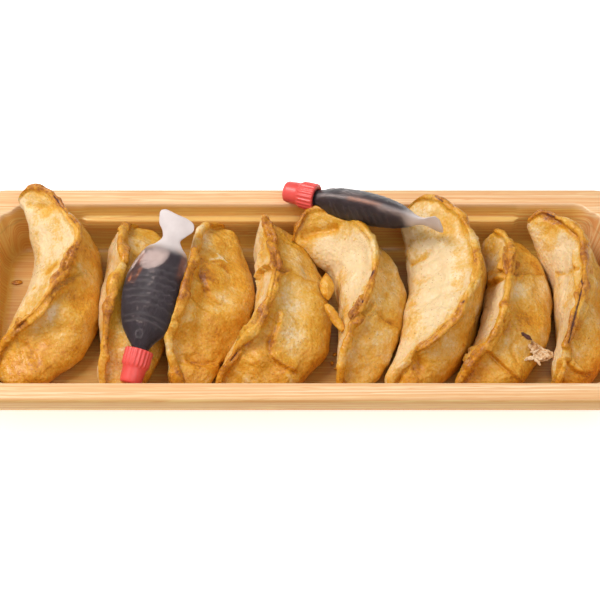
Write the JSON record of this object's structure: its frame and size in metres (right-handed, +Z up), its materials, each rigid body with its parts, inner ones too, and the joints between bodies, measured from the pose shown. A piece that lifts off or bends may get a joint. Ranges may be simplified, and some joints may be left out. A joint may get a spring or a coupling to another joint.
{
  "type": "tray of fried gyoza",
  "caption": "Fried gyoza lying side by side in a shallow wood-print takeaway tray, with fish-shaped soy-sauce bottles and loose fried bits on top. Stands flat on its base.",
  "frame": {"origin": "middle of the flat underside of the tray, on the surface it stands on", "axes": "+X along the tray towards its right end, +Y towards its back, +Z up"},
  "size_m": [0.24, 0.096, 0.0427],
  "materials": {
    "tray": "satin printed wood grain",
    "gyoza": "soft, greasy, fried brown along the seams",
    "bottle": "milky translucent",
    "soy": "dark liquid",
    "cap": "gloss",
    "crumb": "crisp, fried"
  },
  "bodies": {
    "root": {"tray": "tray", "gyoza_1": "gyoza", "gyoza_2": "gyoza", "gyoza_3": "gyoza", "gyoza_4": "gyoza", "gyoza_5": "gyoza", "gyoza_6": "gyoza", "gyoza_7": "gyoza", "gyoza_8": "gyoza", "fish_bottle_1": "bottle", "fish_bottle_2": "bottle", "soy_1": "soy", "soy_2": "soy", "fish_cap_1": "cap", "fish_cap_2": "cap", "crumb_1": "crumb", "crumb_2": "crumb"}
  },
  "joints": []
}
